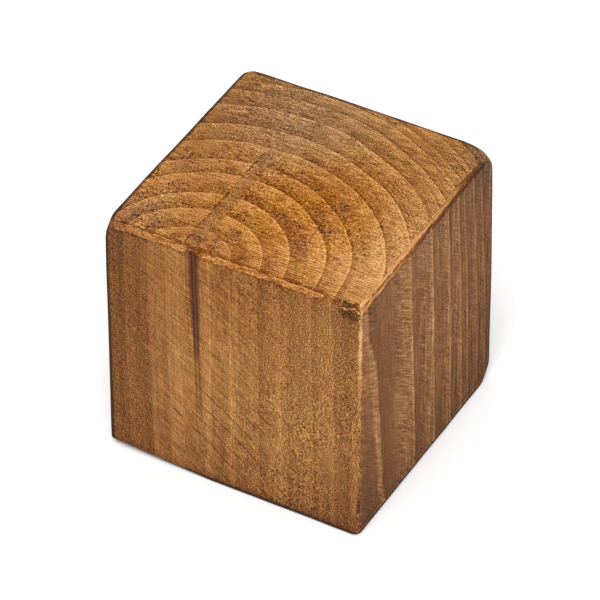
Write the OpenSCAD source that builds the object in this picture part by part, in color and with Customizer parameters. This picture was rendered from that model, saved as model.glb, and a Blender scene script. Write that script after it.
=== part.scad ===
// Small cube of stained softwood, sawn from beside the pith and eased by hand.
// It is one solid piece. X runs from left to right, Y from front to back, and Z up along the grain.
// The origin is the centre of the base, and the pith breaks out of the front face.

/* [Block] */
// Width across the front face
block_w = 49; // [36:0.5:70]
// Depth from the front face to the back face
block_d = 48.5; // [36:0.5:70]
// Height along the grain
block_h = 50; // [36:0.5:70]

/* [Eased edges] */
// Rounding of the edge between the top end and the front face
top_front_r = 1.2; // [0.3:0.1:2.5]
// Rounding of the edge between the top end and the right face
top_right_r = 0.8; // [0.3:0.1:2.5]
// Rounding of the edge between the top end and the back face
top_back_r = 0.9; // [0.3:0.1:2.5]
// Rounding of the edge between the top end and the left face
top_left_r = 0.9; // [0.3:0.1:2.5]
// Rounding of the upright edge between the front and right faces
front_right_r = 0.5; // [0.3:0.1:2.5]
// Rounding of the other three upright edges
upright_r = 0.9; // [0.3:0.1:2.5]
// Rounding of the four edges round the base
base_r = 0.6; // [0.3:0.1:2.5]

/* [Worn corners] */
// Depth worn off the top front left corner, along its diagonal
top_front_left_wear = 1.8; // [0.5:0.1:4]
// Depth worn off the top front right corner
top_front_right_wear = 0.9; // [0.5:0.1:4]
// Depth worn off the top back left corner
top_back_left_wear = 1.2; // [0.5:0.1:4]
// Depth worn off the top back right corner, where the dip is
top_back_right_wear = 1.8; // [0.5:0.1:4]
// Depth worn off the base front right corner
base_front_right_wear = 0.8; // [0.5:0.1:4]
// Depth worn off the base back right corner
base_back_right_wear = 1.8; // [0.5:0.1:4]
// Depth worn off the base back left corner
base_back_left_wear = 1; // [0.5:0.1:4]

/* [Sanded dip] */
// Reach of the dip along the top edges from the back right corner
dip_reach = 10; // [5:0.5:14]
// Drop of the top end at the back right corner
dip_drop = 1.5; // [0.5:0.1:2.5]

/* [Base bevel] */
// Size of the bevel under the front face, where it meets the left face
bevel_leg = 1.6; // [0.5:0.1:3]
// Distance from the left face to where the bevel runs out
bevel_length = 26; // [10:0.5:34]

/* [Pith groove] */
// Distance of the groove from the left face
pith_from_left = 17; // [10:0.5:24]
// Width of the groove at the top end
pith_w = 2.2; // [1:0.1:4]
// Depth of the groove at the top end
pith_depth = 0.4; // [0.2:0.05:0.8]
// Length of the groove down the front face
pith_length = 27; // [12:0.5:32]

/* [Hidden] */
$fn = 64;
wood_colour = [0.60, 0.39, 0.20];
// How far a cutter runs past the face that it cuts
past = 1;
// Distance from a worn corner to the middle of the ball that it is worn to
wear_span = 16;
// Where each worn corner is: left or right, front or back, base or top, then its wear
worn_corners = [
    [-1, -1, 1, top_front_left_wear],
    [1, -1, 1, top_front_right_wear],
    [-1, 1, 1, top_back_left_wear],
    [1, 1, 1, top_back_right_wear],
    [1, -1, -1, base_front_right_wear],
    [1, 1, -1, base_back_right_wear],
    [-1, 1, -1, base_back_left_wear],
];
// Distance from the middle of the dip's edge to the corner, and the radius that it is sanded to
dip_span = dip_reach / sqrt(2);
dip_r = (pow(dip_span, 2) + pow(dip_drop, 2)) / (2 * dip_drop);
// Radius of the groove's section at the top end
pith_r = (pow(pith_w / 2, 2) + pow(pith_depth, 2)) / (2 * pith_depth);
// Radius of the groove's section at a distance down from the top end
function pith_r_at(down) = pith_r - pith_depth * down / pith_length;

// Puts a cutter at a corner or an edge of the block, with the wood towards its +X, +Y and +Z.
// side is -1 left or 1 right, end is -1 front or 1 back, level is -1 base or 1 top, and 0 is the middle.
module at_block(side, end, level) {
    translate([side * block_w / 2, end * block_d / 2, (1 + level) * block_h / 2])
        mirror([max(side, 0), 0, 0])
            mirror([0, max(end, 0), 0])
                mirror([0, 0, max(level, 0)])
                    children();
}

// Waste of a rounded edge that lies along Z
module edge_waste(length, r) {
    difference() {
        translate([-past, -past, -length / 2 - past])
            cube([past + r, past + r, length + 2 * past]);
        translate([r, r, -length / 2 - 2 * past])
            cylinder(r = r, h = length + 4 * past);
    }
}

module upright_edge_waste(side, end, r) {
    at_block(side, end, 0)
        edge_waste(block_h, r);
}

module front_or_back_edge_waste(end, level, r) {
    at_block(0, end, level)
        rotate([0, -90, 0])
            edge_waste(block_w, r);
}

module side_edge_waste(side, level, r) {
    at_block(side, 0, level)
        rotate([90, 0, 0])
            edge_waste(block_d, r);
}

module eased_edges_waste() {
    upright_edge_waste(1, -1, front_right_r);
    upright_edge_waste(1, 1, upright_r);
    upright_edge_waste(-1, 1, upright_r);
    upright_edge_waste(-1, -1, upright_r);
    front_or_back_edge_waste(-1, 1, top_front_r);
    front_or_back_edge_waste(1, 1, top_back_r);
    side_edge_waste(1, 1, top_right_r);
    side_edge_waste(-1, 1, top_left_r);
    for (way = [-1, 1]) {
        front_or_back_edge_waste(way, -1, base_r);
        side_edge_waste(way, -1, base_r);
    }
}

// Waste of a corner that is worn to a large ball
module corner_waste(wear) {
    difference() {
        translate([-past, -past, -past])
            cube(wear_span + past);
        translate([wear_span, wear_span, wear_span])
            sphere(r = wear_span * sqrt(3) - wear);
    }
}

// Waste of the top end where it is sanded down towards the back right corner
module dip_waste() {
    at_block(1, 1, 1)
        rotate([0, 0, 45])
            difference() {
                translate([-past, -dip_reach, -past])
                    cube([past + dip_span, 2 * dip_reach, past + dip_r]);
                translate([dip_span, 0, dip_r])
                    rotate([90, 0, 0])
                        cylinder(r = dip_r, h = 2 * (dip_reach + past), center = true);
            }
}

// Waste of the flat bevel that crosses the base front left corner at a slant
module bevel_waste() {
    slant = [1 / bevel_length, 1 / bevel_leg, 1 / bevel_leg];
    at_block(-1, -1, -1)
        rotate([0, acos(slant[2] / norm(slant)), atan2(slant[1], slant[0])])
            translate([-bevel_length, -bevel_length, 1 / norm(slant) - bevel_leg - past])
                cube([2 * bevel_length, 2 * bevel_length, bevel_leg + past]);
}

// The soft pith, worn to a groove that runs out part of the way down the front face
module pith_groove_waste() {
    translate([
        pith_from_left - block_w / 2,
        pith_depth - pith_r - block_d / 2,
        block_h - pith_length - past
    ])
        cylinder(
            r1 = pith_r_at(pith_length + past),
            r2 = pith_r_at(-past),
            h = pith_length + 2 * past
        );
}

module wooden_cube() {
    color(wood_colour)
        difference() {
            translate([-block_w / 2, -block_d / 2, 0])
                cube([block_w, block_d, block_h]);
            eased_edges_waste();
            for (corner = worn_corners)
                at_block(corner[0], corner[1], corner[2])
                    corner_waste(corner[3]);
            dip_waste();
            bevel_waste();
            pith_groove_waste();
        }
}

wooden_cube();
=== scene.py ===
# A small cube of stained softwood on a pale studio floor.
# The CAD node gives the block its shape and place. This script lays a fine skin over it, wears and
# weathers the skin in geometry, and stains it with one solid wood pattern that runs right through the
# block: growth rings round a pith that breaks out of the front face, with the grain running up along Z.
# The stain also carries painted light and shade: a sheen, darker sides, and shade at the foot and under
# the edges.
import itertools
import math

import bpy
import numpy as np
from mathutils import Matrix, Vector, noise
from mathutils.bvhtree import BVHTree


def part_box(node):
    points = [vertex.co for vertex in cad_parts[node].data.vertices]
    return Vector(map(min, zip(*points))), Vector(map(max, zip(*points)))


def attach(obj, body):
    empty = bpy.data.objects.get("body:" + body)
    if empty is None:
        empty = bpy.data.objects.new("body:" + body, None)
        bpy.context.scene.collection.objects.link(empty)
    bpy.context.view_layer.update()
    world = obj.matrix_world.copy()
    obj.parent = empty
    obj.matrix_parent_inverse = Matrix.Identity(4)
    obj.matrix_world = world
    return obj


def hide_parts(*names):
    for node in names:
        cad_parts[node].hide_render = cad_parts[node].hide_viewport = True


MM = 0.001  # the script's lengths are in millimetres, and Blender's are in metres

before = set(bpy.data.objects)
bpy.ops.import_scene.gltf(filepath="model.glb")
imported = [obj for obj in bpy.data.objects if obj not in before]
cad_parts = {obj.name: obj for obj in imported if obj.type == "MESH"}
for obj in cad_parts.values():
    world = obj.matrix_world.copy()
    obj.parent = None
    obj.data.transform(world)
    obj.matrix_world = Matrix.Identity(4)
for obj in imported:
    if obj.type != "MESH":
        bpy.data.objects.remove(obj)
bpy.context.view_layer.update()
lo, hi = (np.array(corner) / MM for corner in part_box("wooden_cube"))
size = hi - lo
middle = (lo + hi) / 2
left, front, base = lo
right, back, top = hi


# ---------------------------------------------------------------- the wood

# The pith: where its line meets the base and the top end, as (x, y). At the top it lies just in front of
# the front face, so that only its back half is left in the block.
PITH_TOP = np.array([left + 15.9, front - 0.65])
PITH_BASE = np.array([left + 16.5, front + 1.25])
# Radius of each growth ring's outer boundary straight behind the pith, counted outwards
RING_RADII = [3.4, 6.4, 11.6, 16.2, 21.7, 25.6, 31.1, 35.9, 41.0]
RING_RADII += [45.2, 48.0, 49.7, 52.4, 54.7, 58.0, 61.5, 65.0]
# The rings are this much wider on the right of the pith than behind it, as a share of their radius
RING_LEAN = 0.09
# Beside the front right edge the rings are dented inwards by this much, at the base and at the top
RING_DENT = (0.57, 0.86)
# The innermost rings are this much wider than deep
RING_OVAL = 0.22


def smooth(x, start, end):
    """0 before start, 1 after end, and a smooth rise between them. start may be above end."""
    t = np.clip((x - start) / (end - start), 0, 1)
    return t * t * (3 - 2 * t)


def perlin(points, scale, seed):
    """Smooth noise of about -1 to 1 at each point. scale is its lumps' size in mm, along each axis."""
    offset = np.array([seed * 17.3, seed * 5.9, seed * 11.1])
    cells = points / np.array(scale) + offset
    return np.array([noise.noise(cell) for cell in cells.tolist()]) * 2


def ring_age(points):
    """How many growth rings lie between the pith and each point: 2.9 is the last of the third ring."""
    up = ((points[:, 2] - base) / (top - base))[:, None]
    pith = PITH_BASE + (PITH_TOP - PITH_BASE) * up
    wander = np.stack([perlin(points, (14, 14, 60), 1), perlin(points, (14, 14, 60), 2)], 1)
    across, behind = (points[:, :2] - pith + 0.25 * wander).T
    reach = np.hypot(across, behind)
    to_right = across / np.maximum(reach, 0.001)
    oval = 1 + RING_OVAL * smooth(reach, 18, 6)
    lean = RING_LEAN * (0.6 + 0.4 * smooth(reach, 10, 16)) * (0.2 + 0.8 * smooth(reach, 46, 32))
    radius = np.hypot(across / oval, behind) * (1 - lean * to_right)
    dent = RING_DENT[0] + (RING_DENT[1] - RING_DENT[0]) * smooth(up[:, 0], 0.62, 0.84)
    radius += dent * smooth(across, 20, 32) * smooth(behind, 14, 4)
    return np.interp(radius, [0] + RING_RADII, range(len(RING_RADII) + 1))


# ---------------------------------------------------------------- the skin

GRID = 128  # squares along each side of each face
CROWDING = 0.35  # how much closer together the grid's lines are near the edges


def shell():
    """A cube from -1 to 1 as points and squares, with grids that are finer near its edges."""
    line = np.linspace(-1, 1, GRID + 1)
    line = (1 + CROWDING) * line - CROWDING * line**3
    across, down = np.meshgrid(line, line, indexing="ij")
    corner = np.arange((GRID + 1) ** 2).reshape(GRID + 1, GRID + 1)
    square = np.stack([corner[:-1, :-1], corner[1:, :-1], corner[1:, 1:], corner[:-1, 1:]], -1)
    square = square.reshape(-1, 4)
    points = []
    squares = []
    for axis in range(3):
        for side in (-1, 1):
            face = np.empty((across.size, 3))
            face[:, axis] = side
            face[:, (axis + 1) % 3] = across.ravel()
            face[:, (axis + 2) % 3] = down.ravel()
            squares.append(square[:, ::side] + len(points) * across.size)
            points.append(face)
    points, place = np.unique(np.concatenate(points).round(9), axis=0, return_inverse=True)
    return points, place.ravel()[np.concatenate(squares)]


def cast_onto(node, points):
    """Moves each point of a shell straight out from the block's middle until it lies on the CAD node."""
    mesh = node.data
    tree = BVHTree.FromPolygons([v.co for v in mesh.vertices], [tuple(p.vertices) for p in mesh.polygons])
    origin = Vector(middle * MM)
    rays = points * size / 2
    hits = [tree.ray_cast(origin, Vector(ray)) for ray in rays.tolist()]
    return np.array([hit[0] for hit in hits]) / MM


def links(squares):
    """Each edge of the squares, once."""
    edges = np.concatenate([squares[:, [i, (i + 1) % 4]] for i in range(4)])
    return np.unique(np.sort(edges, 1), axis=0)


def relax(points, edges, weight, rounds):
    """Pulls each point towards the mean of its neighbours, by its weight."""
    count = np.bincount(edges.ravel(), minlength=len(points))[:, None]
    for _ in range(rounds):
        total = np.zeros_like(points)
        for near, far in (edges.T, edges.T[::-1]):
            for axis in range(3):
                total[:, axis] += np.bincount(near, points[far, axis], len(points))
        points = points + weight[:, None] * (total / count - points)
    return points


def edge_distance(points):
    """Each point's distance from the block's nearest edge: the second least distance from a face."""
    return np.sort(np.minimum(points - lo, hi - points), 1)[:, 1]


def gaps(points):
    """Each point's distance in from each face of the block."""
    low = dict(zip(("left", "front", "base"), (points - lo).T))
    high = dict(zip(("right", "back", "top"), (hi - points).T))
    return low | high


# The axis that runs inwards from each face, and its sign
INWARD = {"left": (0, 1), "front": (1, 1), "base": (2, 1)}
INWARD |= {"right": (0, -1), "back": (1, -1), "top": (2, -1)}
# The near edges are sanded flat. Each is its two faces, and how far the flat reaches over each of them.
FLATS = [("front", 1.5, "top", 0.9), ("right", 1.1, "top", 0.8), ("front", 0.45, "right", 0.5)]


def sand_flats(points):
    """Cuts an uneven flat along each near edge, and gives how deep each point lay in each cut."""
    uneven = 1 + 0.16 * perlin(points, (2.5, 2.5, 2.5), 5) + 0.07 * perlin(points, (0.7, 0.7, 0.7), 6)
    cuts = {}
    for first, first_reach, second, second_reach in FLATS:
        gap = gaps(points)
        cut = uneven - gap[first] / first_reach - gap[second] / second_reach
        tilt = math.hypot(1 / first_reach, 1 / second_reach)
        moved = points.copy()
        for face, reach in ((first, first_reach), (second, second_reach)):
            axis, sign = INWARD[face]
            moved[:, axis] += sign * np.maximum(cut, 0) / reach / tilt**2
        points = moved
        cuts[first, second] = cut
    return points, cuts


def far_edges(points):
    """Distance of each point from the nearest edge that isn't sanded flat."""
    gap = gaps(points)
    flat = [{first, second} for first, _, second, _ in FLATS]
    pairs = []
    for first, second in itertools.combinations(gap, 2):
        if INWARD[first][0] != INWARD[second][0] and {first, second} not in flat:
            pairs.append(np.hypot(gap[first], gap[second]))
    return np.min(pairs, 0)


BRUISE = np.array([right - 1.9, front + 0.3, top - 1.2])  # the middle of the crushed near top corner
BRUISE_SPREAD = np.array([1.1, 1.0, 0.8])  # its reach along each axis


def bruise(points):
    """1 at the crushed near top corner, and 0 away from it."""
    return smooth(np.linalg.norm((points - BRUISE) / BRUISE_SPREAD, axis=1), 2.9, 0.9)


DENT_DEPTH = 0.30  # deepest dent in the bruised corner
UNEVEN_DEPTH = 0.05  # how far the faces sink on average


def crush(points):
    """Dents the bruised corner, and lets the faces sink unevenly by a little."""
    sunk = DENT_DEPTH * bruise(points) * np.abs(perlin(points, (0.5, 0.5, 0.5), 7))
    sunk += UNEVEN_DEPTH * np.maximum(1 + perlin(points, (9, 9, 14), 8), 0.1)
    inwards = middle - points
    return points + inwards / np.linalg.norm(inwards, axis=1)[:, None] * sunk[:, None]


def inset(u, v, lean, bow, twist=0.0):
    """How far a face lies inside the CAD face, where u and v run from -1 to 1 over it."""
    return lean[0] * u + lean[1] * v + bow[0] * u * u + bow[1] * v * v + twist * u * v


def out_of_square(points):
    """The small lean and bow of each hand-sawn face, in from the CAD face."""
    u, v, w = ((points - middle) / (size / 2)).T
    moved = points.copy()
    moved[:, 2] -= (0.10 + inset(u, v, (-0.10, -0.12), (0.16, 0.04))) * (1 + w) / 2
    moved[:, 0] -= (0.10 + inset(v, w, (0.14, 0.14), (0.04, 0.12), 0.18)) * (1 + u) / 2
    moved[:, 0] += (0.05 + inset(v, w, (0.03, 0.05), (0.0, 0.04))) * (1 - u) / 2
    moved[:, 1] -= (0.02 + inset(u, w, (0.02, 0.04), (0.06, 0.04))) * (1 + v) / 2
    moved[:, 1] += (0.19 + inset(u, w, (-0.05, 0.08), (-0.06, 0.04), 0.04)) * (1 - v) / 2
    return moved


# Soft stains and worn spots, and painted light: a painted sheen on the near top corner, and painted
# shade that dims the top towards its far left corner and the right face towards the back. Each is its
# place (u, v, w), from -1 to 1 across the block, its radius in mm, or one for each axis, and how much
# lighter the tone is there, or darker if below 0.
STAIN_AND_LIGHT_PATCHES = [
    # painted sheen and pool of light on the near top corner
    ((0.80, -0.80, 1.0), 14.0, 0.20),
    ((0.95, -0.25, 1.0), 12.0, 0.08),
    ((0.10, -0.90, 1.0), 12.0, 0.04),
    # painted shade: the top dims towards its far left corner
    ((-0.95, 0.95, 1.0), 16.0, -0.08),
    ((-0.30, 0.60, 1.0), 14.0, -0.03),
    ((-0.20, -1.0, -0.05), 14.0, 0.05),
    ((-1.0, -1.0, 0.1), (6.0, 5.0, 60.0), -0.18),
    ((0.85, -1.0, -0.3), (9.0, 5.0, 14.0), 0.08),
    # painted shade: the right face dims towards the back
    ((1.0, 1.0, 0.0), (10.0, 12.0, 60.0), -0.09),
    ((1.0, -1.0, 0.8), (5.0, 9.0, 12.0), -0.07),
    ((0.55, -1.0, 1.0), (17.0, 5.0, 11.0), -0.15),
    ((0.30, 0.0, 1.0), 15.0, -0.05),
    ((-0.35, -1.0, 0.2), (7.0, 5.0, 60.0), 0.04),
    ((1.0, -0.40, -0.5), (5.0, 4.0, 17.0), 0.13),
    ((1.0, -0.80, -0.5), (5.0, 4.0, 18.0), -0.05),
    ((0.1, -1.0, -0.8), (18.0, 5.0, 8.0), -0.04),
    ((-1.0, 0.3, 1.0), 9.0, -0.06),
    ((1.0, 0.0, 0.5), (5.0, 22.0, 22.0), 0.04),
    ((1.0, -1.0, -0.8), 16.0, -0.06),
    ((1.0, 0.2, 0.1), 15.0, 0.05),
    ((1.0, 0.95, -0.9), 14.0, -0.06),
    ((1.0, -0.45, -0.15), (5.0, 5.0, 10.0), 0.07),
    ((1.0, -0.80, -0.1), (5.0, 4.0, 8.0), 0.05),
    ((1.0, 0.30, 0.3), (5.0, 4.0, 14.0), 0.05),
    ((1.0, -0.60, 0.85), (5.0, 10.0, 6.0), -0.03),
    ((0.0, -1.0, 0.2), (5.0, 5.0, 16.0), 0.04),
    ((0.37, -1.0, -0.6), (5.0, 5.0, 12.0), 0.06),
    ((0.75, -1.0, -0.85), (6.0, 5.0, 6.0), -0.04),
    ((-0.40, -1.0, -0.85), (6.0, 5.0, 6.0), -0.03),
    ((0.80, 0.20, 1.0), (6.0, 9.0, 9.0), 0.05),
    ((-0.40, 0.0, 1.0), (6.0, 5.0, 9.0), 0.05),
    ((-0.80, -0.40, 1.0), (6.0, 6.0, 9.0), 0.04),
    ((0.75, -0.35, 1.0), (6.0, 5.0, 9.0), -0.04),
    ((-0.80, 0.80, 1.0), (6.0, 5.0, 9.0), -0.03),
    ((0.97, 0.92, 1.0), (3.5, 4.5, 6.0), -0.12),
    ((0.75, -1.0, 0.92), (8.0, 5.0, 3.0), -0.06),
    ((0.40, -0.30, 1.0), (6.0, 7.0, 9.0), -0.05),
    ((-0.80, 0.0, 1.0), (6.0, 5.0, 9.0), -0.05),
    ((1.0, 0.30, 0.85), (5.0, 5.0, 5.0), -0.06),
]
# Where the stain is worn greyer, in the same form
GREY_PATCHES = [
    ((-0.33, 0.62, 1.0), 15.0, 0.13),
    ((0.90, 0.0, 1.0), (8.0, 22.0, 8.0), 0.05),
    ((0.15, -0.15, 1.0), 17.0, -0.08),
    ((-0.90, -0.80, 1.0), 6.0, 0.06),
    ((0.97, 0.92, 1.0), 4.5, 0.10),
]
# Where the growth rings are fainter on the end grain, in the same form
CALM_PATCHES = [
    ((0.25, -0.90, 1.0), (12.0, 7.0, 20.0), 0.60),
    ((-0.60, -1.00, 1.0), (9.0, 5.0, 20.0), 0.30),
]
# Dark greyish blots where the pores drank the stain, in the same form
BLOTS = [
    ((0.05, -0.38, 1.0), 1.3, 0.7),
    ((0.17, -0.42, 1.0), 1.5, 0.8),
    ((0.29, -0.56, 1.0), 1.9, 1.0),
    ((0.36, -0.65, 1.0), 1.4, 0.8),
    ((0.40, -0.10, 1.0), 1.8, 0.6),
    ((0.29, -0.25, 1.0), 1.6, 0.6),
    ((0.41, -0.37, 1.0), 1.5, 0.8),
    ((-0.13, -0.71, 1.0), 1.3, 0.7),
    ((-0.20, -0.85, 1.0), 1.5, 0.6),
    ((0.22, -0.85, 1.0), 1.5, 0.5),
    ((-0.21, -0.31, 1.0), 1.1, 0.7),
    ((-0.75, -0.42, 1.0), 1.8, 0.7),
    ((-0.77, -0.71, 1.0), 1.3, 0.7),
    ((-0.83, -0.85, 1.0), 1.2, 0.7),
    ((-0.65, -0.86, 1.0), 1.0, 0.8),
    ((-0.82, -0.17, 1.0), 2.2, 0.6),
    ((0.61, -0.62, 1.0), 1.2, 0.5),
    ((-0.34, -0.865, 1.0), 0.55, 1.3),
]


def patches(points, places):
    """The sum of soft round patches at each point."""
    total = np.zeros(len(points))
    for place, radius, change in places:
        centre = middle + np.array(place) * size / 2
        total += change * np.exp(-np.sum(((points - centre) / radius) ** 2, 1))
    return total


def skin_fields(points, cuts):
    """What the stain reads from the skin at each point, taken before the faces are bowed."""
    gap = gaps(points)
    return {
        "ring_age": ring_age(points),
        "light": patches(points, STAIN_AND_LIGHT_PATCHES),
        "blots": patches(points, BLOTS),
        "grey": patches(points, GREY_PATCHES),
        "calm": patches(points, CALM_PATCHES),
        "far_edge": far_edges(points),
        "from_front": gap["front"],
        "from_right": gap["right"],
        "front_flat": cuts["front", "top"],
        "right_flat": cuts["right", "top"],
        "bruise": bruise(points),
    }


def make_skin():
    """The piece that is seen: a fine mesh over the CAD node, eased, sanded, dented and bowed."""
    points, squares = shell()
    points = cast_onto(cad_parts["wooden_cube"], points)
    edges = links(squares)
    # even out the rounded edges, and the worn corners over a wider reach
    near_edge = smooth(edge_distance(points), 4, 2)
    points = relax(points, edges, 0.5 * near_edge, 6)
    from_corner = np.linalg.norm(np.minimum(points - lo, hi - points), axis=1)
    points = relax(points, edges, 0.5 * smooth(from_corner, 5.0, 2.5), 15)
    points, cuts = sand_flats(points)
    fields = skin_fields(points, cuts)
    points = out_of_square(crush(points))

    mesh = bpy.data.meshes.new("stained_cube")
    mesh.from_pydata(points * MM, [], squares.tolist())
    mesh.polygons.foreach_set("use_smooth", [True] * len(squares))
    for name, values in fields.items():
        mesh.attributes.new(name, "FLOAT", "POINT").data.foreach_set("value", values)
    skin = bpy.data.objects.new("stained_cube", mesh)
    bpy.context.scene.collection.objects.link(skin)
    return skin


# ---------------------------------------------------------------- the stain, with painted light and shade

# Centres of the big arcs that the saw left on the front and on the sides, in mm from the block's middle
FRONT_ARC = (-68, -100)
SIDE_ARC = (-100, -115)
# The deep scratches: the radius of one of them round the front arc's centre, and the step between them
SCRATCH_ARC = 107.9
SCRATCH_PITCH = 2.87
# Distance between the saw lines across the end grain
SAW_PITCH = 0.54
# The dark pith streak down the front: its place at the top, its lean to the right going down, its end
STREAK_X = left + 17.2
STREAK_LEAN = 0.025
STREAK_END = base + 25
# The middle of the dull stripe across the top
STRIPE_X = left + 16.1
# How far in from the front face the front flat ends on top
FRONT_LINE = 1.22
# The front is darker to the left of this: where that begins, and where it is full
DARK_LEFT = (-15.0, -16.2)
# Upright bands of paler or darker wood on the front: where in x, how far each reaches, and how much paler
FRONT_BANDS = [
    (-9.8, 1.6, 0.05),
    (-4.1, 1.5, 0.05),
    (-1.6, 0.9, -0.06),
    (0.5, 1.1, 0.11),
    (10.2, 1.1, 0.09),
    (16.8, 1.3, 0.05),
    (22.0, 2.0, -0.09),
]
# The stain's colours in even steps, from where it is darkest to where it is lightest
STAIN = [
    (0.040, 0.018, 0.010),
    (0.095, 0.030, 0.006),
    (0.185, 0.062, 0.011),
    (0.315, 0.125, 0.028),
    (0.485, 0.223, 0.062),
    (0.710, 0.375, 0.135),
]


def add_node(tree, kind, inputs=(), output=0, **settings):
    """Adds a node with these settings and inputs, and gives one of its outputs."""
    node = tree.nodes.new(kind)
    for name, setting in settings.items():
        setattr(node, name, setting)
    for key, value in dict(inputs).items():
        if isinstance(value, Value):
            tree.links.new(value.socket, node.inputs[key])
        else:
            node.inputs[key].default_value = value
    return Value(tree, node.outputs[output])


class Value:
    """A shader socket that takes part in ordinary arithmetic. Each operation adds a node."""

    def __init__(self, tree, socket):
        self.tree = tree
        self.socket = socket

    def math(self, operation, *others):
        return add_node(self.tree, "ShaderNodeMath", enumerate((self, *others)), operation=operation)

    def __add__(self, other):
        return self.math("ADD", other)

    def __sub__(self, other):
        return self.math("SUBTRACT", other)

    def __mul__(self, other):
        return self.math("MULTIPLY", other)

    def __pow__(self, other):
        return self.math("POWER", other)

    def __rsub__(self, other):
        return self.math("MULTIPLY_ADD", -1.0, other)

    __radd__ = __add__
    __rmul__ = __mul__

    def magnitude(self):
        return self.math("ABSOLUTE")

    def rise(self, start, end):
        """0 before start, 1 after end, and a smooth rise between them. start may be above end."""
        ends = {"Value": self, "From Min": start, "From Max": end, "To Min": 0.0, "To Max": 1.0}
        if start > end:
            ends.update({"From Min": end, "From Max": start, "To Min": 1.0, "To Max": 0.0})
        return add_node(self.tree, "ShaderNodeMapRange", ends, interpolation_type="SMOOTHSTEP")

    def bump(self, centre, width):
        """1 at centre, falling smoothly to 0 at width on either side."""
        return (self - centre).magnitude().rise(width, 0.0)

    def parts(self):
        """The X, Y and Z of a vector."""
        node = add_node(self.tree, "ShaderNodeSeparateXYZ", {0: self}).socket.node
        return [Value(self.tree, output) for output in node.outputs]


def mix(a, b, share):
    """a where share is 0, b where it is 1, and a blend between."""
    return (b - a) * share + a


class Wood:
    """The wood's shader tree, and what its parts share: the point, its normal, noises and fields."""

    def __init__(self, tree):
        self.tree = tree
        place = self.node("ShaderNodeTexCoord", output="Object")
        place = self.node("ShaderNodeVectorMath", {0: place, "Scale": 1 / MM}, operation="SCALE")
        self.x, self.y, self.z = place.parts()
        normal = self.node("ShaderNodeNewGeometry", output="Normal")
        self.normal_x, self.normal_y, self.normal_z = normal.parts()
        self.frontward = -1 * self.normal_y
        self.on_side = self.normal_x.magnitude().rise(0.5, 0.8)
        self.on_front = self.frontward.rise(0.5, 0.8)
        # these fray the borders between one finish and the next
        self.ragged = self.noise((0.7, 0.7, 0.7), 31)
        self.teeth = self.noise((0.40, 0.40, 0.40), 32, detail=1.0)
        # the stain lies unevenly: in clouds and mottles, in fibres and brushed lines, and as a fine grit
        self.clouds = self.noise((9, 9, 26), 2, detail=3.0)
        self.mottle = self.noise((1.6, 1.6, 4.0), 5)
        self.fibres = self.noise((0.24, 0.24, 2.5), 3, detail=0.0)
        self.brushed = self.noise((2.2, 0.24, 3.5), 24, detail=0.0)
        self.grit = self.noise((0.205, 0.205, 0.27), 4, detail=0.0)
        self.speckles = self.noise((0.24, 0.24, 0.30), 11, detail=0.0).rise(0.00, 0.16)
        self.blots = self.field("blots")
        self.calm = self.field("calm")

    def node(self, kind, inputs=(), output=0, **settings):
        return add_node(self.tree, kind, inputs, output, **settings)

    def field(self, name):
        """A value that the skin's mesh carries."""
        return self.node("ShaderNodeAttribute", attribute_name=name, output="Fac")

    def scaled(self, at, scale):
        """A vector of the parts of at, each in units of its scale."""
        parts = {i: part * (1 / unit) for i, (part, unit) in enumerate(zip(at, scale))}
        return self.node("ShaderNodeCombineXYZ", parts)

    def noise(self, scale, seed, detail=2.0, at=None):
        """Noise with a mean of 0, mostly within 0.25. scale is its lumps' size in mm, along each axis."""
        vector = self.scaled(at or (self.x, self.y, self.z), scale)
        inputs = {"Vector": vector, "W": float(seed), "Scale": 1.0, "Detail": detail}
        return self.node("ShaderNodeTexNoise", inputs, noise_dimensions="4D") - 0.5


def find_end_grain(wood):
    """Where end grain shows: on the ends, and on the frayed flats along the near top edges."""
    x, y = wood.x, wood.y
    wood.from_front = wood.field("from_front") + wood.ragged * 0.25
    wood.from_right = wood.field("from_right") + wood.ragged * 0.15
    fray = wood.teeth * (wood.from_front.rise(0.9, 0.3) * 0.45 + 0.10)
    front_cut = wood.field("front_flat") + fray + x.rise(left + 3.5, left + 1) * 0.6
    wood.front_cut = front_cut - x.rise(-2, 16) * 0.22 - x.rise(14, 20) * 0.45
    right_cut = wood.field("right_flat") + wood.teeth * 0.3
    wood.right_cut = right_cut - y.rise(-12, -4) * 0.06 - y.rise(0, 22) * 0.12
    # the front flat ends along a nearly straight line on top
    wander = wood.noise((7, 2, 2), 47, detail=1.0) * 0.5
    wood.front_line = wood.from_front + wander - FRONT_LINE + x.bump(-5, 13) * 0.28
    wood.near_front = wood.front_cut.rise(0.0, 0.06) * wood.front_line.rise(0.03, -0.03)
    wood.near_right = wood.right_cut.rise(0.0, 0.06)
    wood.flat = wood.near_front.math("MAXIMUM", wood.near_right)
    left_corner = x.rise(left + 4, left + 1) * y.rise(front + 4, front + 1) * 0.28
    upward = wood.normal_z.magnitude() + wood.ragged * 0.2 + left_corner
    wood.end_grain = upward.rise(0.90, 0.96).math("MAXIMUM", wood.flat)


def grow_rings(wood):
    """The rings: age counts them outwards from the pith, and ring runs from 0 to 1 across each.

    outer is 1 in the outer rings, and layers is a noise that runs along the rings.
    """
    wood.age = wood.field("ring_age") + wood.noise((0.9, 0.9, 9), 1) * 0.06
    wood.ring = wood.age.math("FRACT")
    wood.outer = wood.age.rise(7.0, 9.5)
    wood.pale_line = wood.ring.bump(0.955, 0.045)
    wood.layers = wood.noise((0.13, 9, 30), 6, at=(wood.age, wood.x + wood.y, wood.z))


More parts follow.
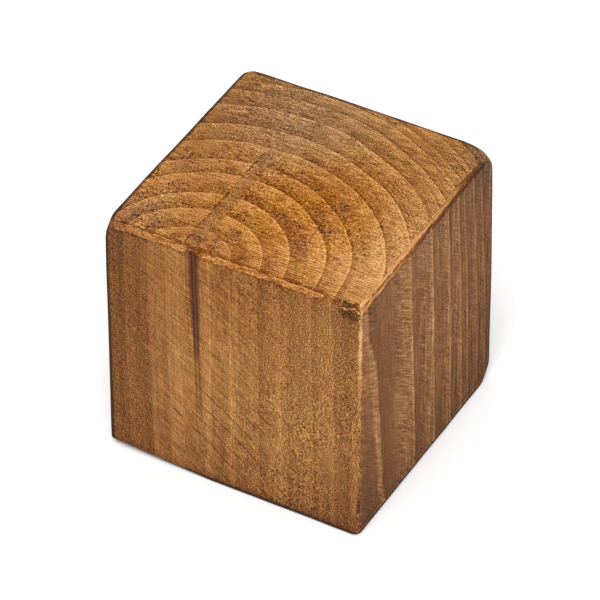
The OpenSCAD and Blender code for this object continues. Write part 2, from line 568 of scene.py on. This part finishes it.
def rings_on_ends(wood):
    """Each ring begins dark and lightens outwards, to a pale line where the next one begins."""
    ring = wood.ring
    sharp = mix(0.70, 0.95, (wood.x - wood.y * 0.4).rise(-26, 8))
    sharp = sharp * mix(0.85, 1.0, wood.age.rise(12, 9)) * wood.age.rise(0.4, 1.4)
    tone = (ring.rise(0.20, 0.90) * 0.17 - 0.07 - ring.rise(0.28, 0.0) * 0.12) * sharp
    tone = tone * (1.0 - wood.calm)
    border = wood.pale_line * 0.17 - ring.rise(0.07, 0.0) * 0.12
    return tone + border * (sharp * 0.8 + 0.2)


def rings_on_sides(wood):
    """The rings' bands along the grain, with thin pale lines on the left and right faces."""
    ring = wood.ring
    lines = ring.bump(0.98, 0.025) * 0.18 + ring.bump(0.90, 0.016) * 0.12 + ring.rise(0.88, 0.91) * 0.09
    lines = lines * (wood.y.rise(-12, 2) * 0.25 + 0.75)
    bands = (ring - 0.5) * mix(0.10, 0.20, wood.on_side)
    return bands + mix(wood.pale_line * 0.04, lines - 0.01, wood.on_side)


def ring_hairs(wood):
    """Thin dark and pale lines along the rings of the end grain."""
    shown = (wood.noise((5, 5, 40), 9) + wood.outer * 0.3).rise(0.02, 0.16)
    dark = wood.layers.bump(0.0, 0.022) * shown
    pale = wood.layers.bump(0.06, 0.022) * wood.outer * wood.noise((5, 5, 40), 12).rise(-0.05, 0.1)
    return pale * 0.22 - dark * mix(0.18, 0.44, wood.outer)


def find_pores(wood):
    """Pores are ragged specks and dots, which gather in clumps early in a ring and in the blots."""
    crowd = wood.ring.rise(0.70, 0.30) * wood.age.rise(8.0, 5.0)
    clumps = wood.noise((2.4, 2.4, 30), 7, detail=1.0) + crowd * 0.22 + wood.blots * 0.45
    clumps = clumps.rise(0.06, 0.30)
    wood.specks = wood.noise((0.40, 0.40, 4), 8).rise(0.04, 0.13)
    at = wood.scaled((wood.x, wood.y, wood.z), (0.75, 0.75, 9))
    cell = wood.node("ShaderNodeTexVoronoi", {"Vector": at, "Scale": 1.0})
    luck = Value(wood.tree, cell.socket.node.outputs["Color"]).parts()[0]
    dots = (cell + wood.ragged * 0.3).rise(0.34, 0.20) * luck.rise(0.35, 0.45)
    wood.pores = wood.specks * (clumps * 0.7 + 0.12) + dots * (clumps + 0.04)


def end_saw_lines(wood):
    """Fine straight saw lines across the end grain, clearest near the front."""
    lines = (wood.y * (2 * math.pi / SAW_PITCH) + wood.noise((4, 1, 4), 21) * 5).math("SINE")
    return lines * (wood.noise((9, 3, 9), 22) + wood.y.rise(-8, -18) * 0.5).rise(0.1, 0.5)


def find_arcs(wood):
    """The distance from the centre of the saw's arcs, and the fine marks that the saw left along them."""
    height = wood.z - middle[2]
    arcs = []
    for across, (centre_across, centre_up) in ((wood.x, FRONT_ARC), (wood.y, SIDE_ARC)):
        arcs.append(((across - centre_across) ** 2 + (height - centre_up) ** 2) ** 0.5)
    wood.arc = mix(arcs[0], arcs[1], wood.on_side)
    wood.arc_saw = wood.noise((0.24, 3, 3), 23, detail=0.0, at=(wood.arc, wood.x + wood.y, wood.z))


def scratches(wood):
    """A few deep scratches stand apart from the fine arcs, at the left and low on the front."""
    turn = ((wood.arc + wood.ragged * 0.5 - SCRATCH_ARC) * (1 / SCRATCH_PITCH)).math("FRACT")
    scratch = (turn - 0.5).magnitude().rise(0.455, 0.5) * wood.on_front
    shown = wood.noise((2.6, 2.6, 2.6), 25) * 4 + wood.x.bump(-1.5, 10) + wood.z.bump(14, 14)
    return scratch * shown.rise(1.0, 1.6)


def end_tone_of(wood):
    """How light the end grain is, from the rings, stain, saw lines and pores."""
    cleaner = wood.y.rise(-9, -18) * wood.x.rise(-6, 4)
    tone = rings_on_ends(wood) + wood.clouds * 0.20 + wood.mottle * 0.12 + wood.layers * 0.25
    tone = tone + wood.grit * (1.44 - cleaner * 0.42) + wood.brushed * 0.75
    tone = tone + end_saw_lines(wood) * (cleaner * 0.06 + 0.08) + ring_hairs(wood)
    return tone - wood.pores * (0.49 - cleaner * 0.20 - wood.calm * 0.18)


def side_tone_of(wood):
    """How light the side grain is, from the rings, stain, fibres and saw arcs."""
    x, y, on_side = wood.x, wood.y, wood.on_side
    tone = rings_on_sides(wood) + wood.clouds * 0.18 + wood.mottle * 0.05
    tone = tone + wood.layers * mix(0.27, 0.10, on_side) + wood.fibres * mix(0.30, 0.40, on_side)
    sawn_front = x.bump(-5, 22) * 0.6 + 0.4
    sawn_side = (wood.ring.rise(0.12, 0.45) + y.rise(-18, -21)).math("MINIMUM", 1.0)
    sawn_side = sawn_side * mix(0.6, 1.0, y.rise(6, -6))
    tone = tone + wood.arc_saw * mix(sawn_front * 0.65, sawn_side * 0.85, on_side)
    gritty = x.rise(-2, 12) * 0.72 + x.rise(-14, -18) * 0.50 + 0.72
    tone = tone + wood.grit * mix(gritty, 0.75, on_side)
    tone = tone + wood.layers.bump(0.06, 0.025) * y.rise(-8, 0) * on_side * 0.18
    tone = tone - wood.speckles * mix(x.rise(-10, 14) * 0.09 + 0.05, 0.06, on_side)
    long_fibres = wood.noise((0.26, 0.26, 12), 10, detail=0.0)
    return tone + long_fibres * on_side * (y.rise(-12, 2) * 0.4 + 0.2)


def add_tongue(wood, tone):
    """A darker tongue of wood low on the right face, beside the front edge, with a pale border."""
    beyond = wood.y + 20.0 - (26 - wood.z) * 0.125 + wood.ragged * 0.5
    low = wood.z.rise(36, 26)
    tongue = beyond.rise(0.7, -0.7) * low * wood.y.rise(front + 0.8, front + 1.6) * wood.on_side
    tone = tone * (1.0 - tongue * 0.5) - tongue * 0.08
    return tone + beyond.bump(0.7, 0.8) * low * wood.z.rise(2, 8) * wood.on_side * 0.10


def add_front_bands(wood, tone):
    """Upright bands of darker and paler wood on the front."""
    tone = tone - (wood.x + wood.ragged * 0.5).rise(*DARK_LEFT) * wood.on_front * 0.08
    for band, reach, paler in FRONT_BANDS:
        tone = tone + (wood.x + wood.clouds * 2).bump(band, reach) * wood.on_front * paler
    return tone


def find_streak(wood):
    """The pith's dark streak down the front, which narrows as it goes down."""
    wood.beside_streak = wood.x - STREAK_X - (top - wood.z) * STREAK_LEAN + wood.ragged * 0.12
    wood.from_streak = wood.beside_streak.magnitude()
    width = wood.z.rise(STREAK_END - 4, STREAK_END + 14) * 0.95 + 0.05
    end = wood.z.rise(STREAK_END - 1, STREAK_END + 4)
    wood.streak = (wood.from_streak - width).rise(0.2, -0.2) * end * wood.on_front


def find_stripe(wood):
    """The dull stripe that the pith left across the top, and its border."""
    from_stripe = (wood.x - STRIPE_X + wood.ragged * 0.2).magnitude()
    reach = (wood.y + wood.ragged * 3).rise(8, 3) * wood.end_grain
    wood.stripe = from_stripe.rise(1.30, 1.10) * reach
    broken = wood.noise((0.5, 1.0, 4), 44, detail=1.0).rise(-0.10, 0.02)
    wood.stripe_border = from_stripe.bump(1.25, 0.30) * reach * broken


def add_streak(wood, tone):
    """The streak, two dark hairs in it that run further down, and a pale and a dark line to its left."""
    z, on_front = wood.z, wood.on_front
    hairs = (wood.from_streak - 0.35).magnitude().rise(0.40, 0.05) * z.rise(9, 23) * on_front
    lines = wood.beside_streak.bump(-1.75, 0.16) * 0.16 - wood.beside_streak.bump(-1.45, 0.14) * 0.14
    tone = tone * (1 - wood.streak * 0.4) - wood.streak * 0.27 - hairs * 0.27
    return tone + lines * on_front * z.rise(22, 30)


def add_stripe(wood, tone):
    """The stripe, dull and plain. Its left border is the darker one."""
    border = wood.stripe_border * (wood.x - STRIPE_X).rise(0.5, -0.5) + wood.stripe_border * 0.4
    dull = wood.grit * 1.3 + wood.brushed * 0.7 + wood.mottle * 0.3 - wood.specks * 0.34
    dull = dull - wood.y.rise(-15, -22) * 0.12 - 0.07
    return mix(tone, dull, wood.stripe * 0.75) - border * 0.34


def front_flat_tone(wood):
    """Torn orange fibres on the flat along the top front edge, dark where the streak crosses it."""
    tone = wood.noise((0.45, 0.6, 0.5), 41, detail=1.0) * 0.4
    tone = tone + wood.noise((3.5, 0.24, 0.24), 45, detail=0.0) * 0.9
    tone = tone + wood.grit * 1.2 + wood.x.rise(-22, 4) * 0.03 - 0.01
    tone = tone - wood.from_front.bump(0.80, 0.10) * wood.noise((3, 1, 1), 46).rise(-0.05, 0.05) * 0.20
    return tone - wood.from_streak.rise(1.9, 1.1) * 0.34


def right_flat_tone(wood):
    """Fibres along the top right edge: a pale strip over a dark broken line, both fading to the back."""
    y, inward = wood.y, wood.from_right
    tone = wood.noise((0.22, 3, 0.22), 42, detail=0.0) * 0.6 + wood.grit * 0.5
    tone = tone + y.rise(-18, -22) * 0.25 - 0.20
    tone = tone + inward.rise(0.42, 0.6) * (0.30 - y.rise(10, 15) * 0.40)
    tone = tone - inward.rise(0.48, 0.34) * y.rise(-10, -3) * 0.36
    dashes = inward.bump(0.50, 0.16) * wood.noise((2, 1.1, 2), 43).rise(-0.02, 0.04)
    tone = tone - dashes * (0.50 - y.rise(-8, 0) * 0.25)
    return tone + inward.rise(0.34, 0.14) * y.rise(-12, -18) * 0.18


def add_flats(wood, tone):
    """The two top flats, and the thin broken lines along the upper border of the front one."""
    tone = mix(mix(tone, right_flat_tone(wood), wood.near_right), front_flat_tone(wood), wood.near_front)
    line, steep = wood.front_line, wood.normal_z.rise(0.5, 0.6)
    lines = line.bump(0.20, 0.12) * 0.12 - line.bump(0.0, 0.14) * 0.56 + line.bump(-0.22, 0.12) * 0.16
    broken = wood.noise((5, 1, 1), 48, detail=1.0).rise(-0.22, -0.06) * (1.0 - wood.near_right) * steep
    # the flat is pale where it comes to the near corner
    pale_end = wood.x.rise(14, 20) * wood.from_front.bump(0.85, 0.4) * steep
    return tone + lines * broken + pale_end * 0.25


def shade_foot(wood, tone):
    """Painted shade on the lower ends of the sides, near the floor, deepest in the last millimetres."""
    z = wood.z
    tone = tone - z.rise(16, 0) * 0.04 - z.rise(3.4, 0.8) * 0.14
    # a thin pale line runs along the left and right faces there
    return tone + z.bump(1.25, 0.35) * wood.on_side * 0.30


def find_rim(wood):
    """The rounded near upright edge."""
    steepest = wood.normal_x.magnitude().math("MAXIMUM", wood.normal_y.magnitude()) + wood.teeth * 0.15
    wood.rim = steepest.rise(0.92, 0.83) * wood.normal_x.rise(0.2, 0.4) * wood.frontward.rise(0.2, 0.4)


def edge_wear_and_shade(wood):
    """The near upright edge is worn pale with a painted highlight, and a dark chip low down. The far
    edges are darker: partly gathered stain, partly painted shade.
    """
    x, y, z = wood.x, wood.y, wood.z
    # painted highlight along the rounded near edge, with the wood worn paler there
    rubbed_and_highlit = wood.rim * (z.rise(22, 42) * 0.42 - z.bump(7, 3) * 0.36 + wood.ragged * 0.5 + 0.06)
    # the edges of the hidden faces are less dark, and so is the front left edge
    spared = (wood.normal_y - wood.normal_x).rise(0.1, 0.8) * 0.45
    spared = spared + z.rise(3, 6) * x.rise(left + 2, left) * y.rise(front + 3, front) * 0.5
    # far edges darker: partly stain gathered there, partly painted shade where they round away from the
    # light
    far_edge = (wood.field("far_edge") + wood.ragged * 0.5).rise(1.25, 0.5) * (1.0 - spared)
    return rubbed_and_highlit - far_edge * 0.70


def bruise_tone(wood):
    """How dark the crushed corner is."""
    bruise = wood.field("bruise")
    tone = bruise * (wood.speckles * 0.75 + 0.21) * wood.frontward.rise(0.37, 0.57) * (1.0 - wood.rim)
    return tone - bruise * wood.normal_y.bump(-0.35, 0.2) * 0.14


def brow_shade(wood):
    """Painted shade on the sides just under the near top edges."""
    brow = wood.front_cut.rise(-0.7, -0.05)
    brow = brow + wood.right_cut.rise(-0.6, -0.05) * wood.y.rise(-22, -17) * 1.6
    return brow * (1.0 - wood.end_grain) * 0.16


def stain_and_shade_tone(wood):
    """How light the stain is at each point, mostly between 0 and 1, with painted light and shade worked
    in.
    """
    side_tone = add_tongue(wood, side_tone_of(wood)) - scratches(wood) * 0.8
    side_tone = shade_foot(wood, add_front_bands(wood, add_streak(wood, side_tone)))
    end_tone = add_flats(wood, add_stripe(wood, end_tone_of(wood)))
    # each face's base tone is partly its grain's own and partly painted light: the top lightest, the
    # front darker and the sides darkest, as the light falls on them
    tone = mix(side_tone + mix(0.395, 0.255, wood.on_side), end_tone + 0.54, wood.end_grain)
    tone = tone + wood.field("light") - wood.blots * 0.14 + edge_wear_and_shade(wood)
    return tone - brow_shade(wood) - bruise_tone(wood)


def stain_ramp(wood, tone):
    """The stain's colour for each tone."""
    ramp = wood.node("ShaderNodeValToRGB", {"Fac": tone * 0.8 + 0.2}, output="Color")
    stops = ramp.socket.node.color_ramp.elements
    while len(stops) < len(STAIN):
        stops.new(0.5)
    for i, colour in enumerate(STAIN):
        stops[i].position = i / (len(STAIN) - 1)
        stops[i].color = (*colour, 1)
    return ramp


def stain_colour(wood, tone):
    """The stain's colour: greyer on the sides and front, partly duller stain and partly a painted sheen,
    greyer in the blots, and redder on the flats and the rim.
    """
    blots = wood.blots
    # the sides and front are greyer: partly duller stain, partly a painted sheen of reflected white
    grey = wood.field("grey") + wood.on_side * 0.05 + wood.on_front * 0.04
    grey = grey + blots * 0.08 + wood.streak * 0.06 + wood.stripe * 0.05
    warm = wood.flat.math("MAXIMUM", wood.rim)
    reddish = wood.noise((3.5, 3.5, 9), 51, detail=1.0)
    flecks = wood.noise((0.35, 0.35, 0.6), 52, detail=0.0)
    hue = grey * 0.04 - wood.streak * 0.012 - warm * 0.0045
    hue = hue - reddish * 0.017 - flecks * 0.03 - blots * 0.010 + 0.5
    faded = {"Color": stain_ramp(wood, tone), "Hue": hue}
    faded.update({"Saturation": 1.0 - grey, "Value": 1.0 - grey * 0.6})
    return wood.node("ShaderNodeHueSaturation", faded, output="Color")


def wood_relief(wood):
    """The fine relief of the fibres, grit, saw arcs and pores."""
    height = wood.fibres * mix(1.0, 0.3, wood.end_grain) + wood.grit * 0.6
    height = height + wood.arc_saw * mix(0.5, 0.0, wood.end_grain) - wood.pores * 0.8
    return wood.node("ShaderNodeBump", {"Height": height, "Strength": 0.9, "Distance": 0.13 * MM})


def stained_wood():
    """The block's one material."""
    material = bpy.data.materials.new("stained_softwood")
    material.use_nodes = True
    tree = material.node_tree
    tree.nodes.clear()
    wood = Wood(tree)
    find_end_grain(wood)
    grow_rings(wood)
    find_pores(wood)
    find_arcs(wood)
    find_streak(wood)
    find_stripe(wood)
    find_rim(wood)
    tone = stain_and_shade_tone(wood)
    finish = {"Base Color": stain_colour(wood, tone), "Roughness": mix(0.62, 0.45, tone)}
    finish.update({"Normal": wood_relief(wood), "Specular IOR Level": 0.05})
    shader = wood.node("ShaderNodeBsdfPrincipled", finish)
    output = tree.nodes.new("ShaderNodeOutputMaterial")
    tree.links.new(shader.socket, output.inputs["Surface"])
    return material


# ---------------------------------------------------------------- the studio

CAMERA_AZIMUTH = math.radians(29.18)
CAMERA_ELEVATION = math.radians(39.99)
CAMERA_DISTANCE = 809.9
CAMERA_LENS = 285.2
# The point that the camera looks at: this far to the left of the block's middle line, and this high
LOOK_LEFT = 0.32
LOOK_HEIGHT = 24.66
# The key light: where it comes from, how bright it is, and how wide it looks from the block
KEY_AZIMUTH = math.radians(20)
KEY_ELEVATION = math.radians(58)
KEY_STRENGTH = 2.2
KEY_SPREAD = math.radians(40)
SURROUND_STRENGTH = 0.75
# From the block to each side of the floor, in metres
FLOOR_REACH = 4.0


def towards(azimuth, elevation):
    """The direction from the block towards a place at this azimuth from the front and this elevation."""
    level = math.cos(elevation)
    return Vector((math.sin(azimuth) * level, -math.cos(azimuth) * level, math.sin(elevation)))


def make_camera():
    """The camera at the photograph's viewing angle."""
    data = bpy.data.cameras.new("camera")
    data.lens = CAMERA_LENS
    data.sensor_width = 36
    data.clip_start = 0.01
    data.clip_end = 20
    camera = bpy.data.objects.new("camera", data)
    bpy.context.scene.collection.objects.link(camera)
    sideways = Vector((math.cos(CAMERA_AZIMUTH), math.sin(CAMERA_AZIMUTH), 0))
    target = Vector((0, 0, LOOK_HEIGHT)) - sideways * LOOK_LEFT
    back = towards(CAMERA_AZIMUTH, CAMERA_ELEVATION)
    camera.location = (target + back * CAMERA_DISTANCE) * MM
    camera.rotation_mode = "QUATERNION"
    camera.rotation_quaternion = back.to_track_quat("Z", "Y")
    bpy.context.scene.camera = camera


def make_key():
    """The soft key light, from the front right."""
    data = bpy.data.lights.new("key", "SUN")
    data.energy = KEY_STRENGTH
    data.angle = KEY_SPREAD
    sun = bpy.data.objects.new("key", data)
    bpy.context.scene.collection.objects.link(sun)
    sun.rotation_mode = "QUATERNION"
    sun.rotation_quaternion = towards(KEY_AZIMUTH, KEY_ELEVATION).to_track_quat("Z", "Y")


def make_surround():
    """A plain white surround."""
    world = bpy.data.worlds.new("studio")
    bpy.context.scene.world = world
    world.use_nodes = True
    background = world.node_tree.nodes["Background"]
    background.inputs["Color"].default_value = (1, 1, 1, 1)
    background.inputs["Strength"].default_value = SURROUND_STRENGTH
    bpy.context.scene.view_settings.view_transform = "Standard"


def make_floor():
    """A plain pale floor, which isn't part of the object."""
    mesh = bpy.data.meshes.new("floor")
    reach = FLOOR_REACH
    corners = [(-reach, -reach, 0), (reach, -reach, 0), (reach, reach, 0), (-reach, reach, 0)]
    mesh.from_pydata(corners, [], [(0, 1, 2, 3)])
    floor = bpy.data.objects.new("floor", mesh)
    bpy.context.scene.collection.objects.link(floor)
    material = bpy.data.materials.new("floor")
    material.use_nodes = True
    shader = material.node_tree.nodes["Principled BSDF"]
    shader.inputs["Base Color"].default_value = (0.96, 0.96, 0.96, 1)
    shader.inputs["Roughness"].default_value = 0.9
    shader.inputs["Specular IOR Level"].default_value = 0.0
    mesh.materials.append(material)


make_camera()
make_surround()
make_key()
make_floor()
skin = make_skin()
skin.data.materials.append(stained_wood())
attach(skin, "root")
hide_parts("wooden_cube")
